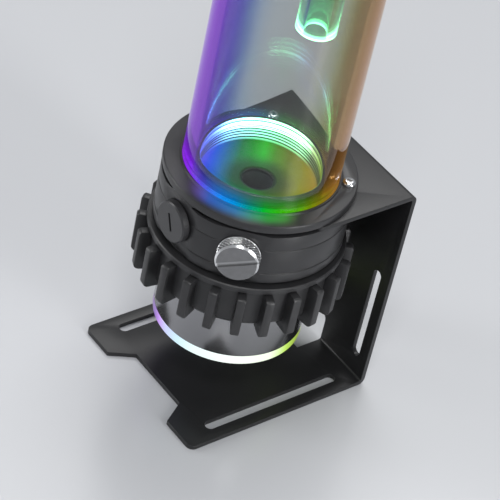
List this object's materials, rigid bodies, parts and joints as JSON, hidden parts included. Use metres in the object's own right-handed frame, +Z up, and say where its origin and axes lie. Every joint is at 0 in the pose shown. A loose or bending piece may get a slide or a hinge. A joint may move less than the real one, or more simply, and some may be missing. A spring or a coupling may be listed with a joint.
{
  "type": "coolant pump reservoir",
  "caption": "Tube reservoir on a liquid cooling pump, clamped by a finned union ring and carried by a folded sheet bracket.",
  "frame": {"origin": "on the common axis of tube and pump, in the plane of the bracket's underside", "axes": "+Z up along the tube; +Y towards the bracket's back plate; the front port faces -Y"},
  "size_m": [0.0844, 0.09, 0.2543],
  "materials": {
    "sheet_coat": "satin black powder coat",
    "acetal_black": "machined black acetal",
    "black_plug": "brass with a satin black coat",
    "filled_nylon": "moulded glass-filled nylon",
    "seal_rubber": "black sealing rubber",
    "bright_metal": "bright nickel",
    "clear_acrylic": "clear acrylic",
    "light_guide": "lit frosted acrylic",
    "glow_band": "lit diffuser",
    "laminate": "circuit board laminate",
    "chip_black": "moulded component cases",
    "can_satin": "smooth satin dark moulding",
    "slip_white": "low friction plastic",
    "stainless": "drawn stainless steel",
    "ceramic_ball": "polished ceramic",
    "impeller_white": "moulded plastic",
    "rotor_dark": "sintered magnet and carbon bush",
    "lamination": "steel laminations",
    "winding": "enamelled copper winding"
  },
  "bodies": {
    "base": {"bracket": "sheet_coat", "pump_top": "acetal_black", "flange": "acetal_black", "flange_seal": "seal_rubber", "flange_screws": "bright_metal", "led_board": "laminate", "led_chips": "light_guide", "light_guide": "light_guide", "floor_bowl": "light_guide", "rim_light": "light_guide", "floor_seal": "seal_rubber", "tube": "clear_acrylic", "top_cap": "acetal_black", "cap_seal": "seal_rubber", "drop_tube": "clear_acrylic", "drop_tube_seal": "seal_rubber", "volute_seal": "seal_rubber", "motor_can": "can_satin", "isolation_cup": "stainless", "bearing_ball": "ceramic_ball", "stator_core": "lamination", "stator_coils": "winding", "circuit_board": "laminate", "board_parts": "chip_black", "glow_band": "glow_band", "can_cover": "can_satin", "cover_screws": "bright_metal", "cable_gland": "seal_rubber"},
    "rotor": {"impeller": "impeller_white", "rotor_magnet": "rotor_dark", "rotor_bush": "rotor_dark"},
    "knurled_seal": {"knurled_plug_seal": "seal_rubber"},
    "knurled_plug": {"knurled_plug": "bright_metal"},
    "low_seal": {"low_plug_seal": "seal_rubber"},
    "low_plug": {"low_plug": "black_plug"},
    "fill_seal": {"fill_plug_seal": "seal_rubber"},
    "fill_plug": {"fill_plug": "black_plug"},
    "clamp_slip": {"slip_ring": "slip_white"},
    "clamp_ring": {"union_ring": "filled_nylon"}
  },
  "joints": [
    {"name": "impeller_spin", "type": "hinge", "parent": "base", "child": "rotor", "pos_m": [0, 0, 0.054], "axis": [0, 0, 1], "continuous": true},
    {"name": "knurled_plug_travel", "type": "slide", "parent": "base", "child": "knurled_seal", "axis": [0.7071, -0.7071, 0], "range_m": [0, 0.007]},
    {"name": "knurled_plug_turn", "type": "hinge", "parent": "knurled_seal", "child": "knurled_plug", "pos_m": [0.02515, -0.02515, 0.087], "axis": [0.7071, -0.7071, 0], "range_deg": [0, 1884.8]},
    {"name": "low_plug_travel", "type": "slide", "parent": "base", "child": "low_seal", "axis": [0, -1, 0], "range_m": [0, 0.007]},
    {"name": "low_plug_turn", "type": "hinge", "parent": "low_seal", "child": "low_plug", "pos_m": [0, -0.03557, 0.087], "axis": [0, -1, 0], "range_deg": [0, 1884.8]},
    {"name": "fill_plug_travel", "type": "slide", "parent": "base", "child": "fill_seal", "axis": [0, 0, 1], "range_m": [0, 0.007]},
    {"name": "fill_plug_turn", "type": "hinge", "parent": "fill_seal", "child": "fill_plug", "pos_m": [0, -0.012, 0.2508], "axis": [0, 0, 1], "range_deg": [0, 1884.8]},
    {"name": "union_ring_travel", "type": "slide", "parent": "base", "child": "clamp_slip", "axis": [0, 0, -1], "range_m": [0, 0.013]},
    {"name": "union_ring_turn", "type": "hinge", "parent": "clamp_slip", "child": "clamp_ring", "pos_m": [0, 0, 0.0735], "axis": [0, 0, -1], "range_deg": [0, 2340]}
  ],
  "couplings": [
    {"joint": "knurled_plug_travel", "follows": "knurled_plug_turn", "m_per_rad": 0.00021279},
    {"joint": "low_plug_travel", "follows": "low_plug_turn", "m_per_rad": 0.00021279},
    {"joint": "fill_plug_travel", "follows": "fill_plug_turn", "m_per_rad": 0.00021279},
    {"joint": "union_ring_travel", "follows": "union_ring_turn", "m_per_rad": 0.00031831}
  ]
}
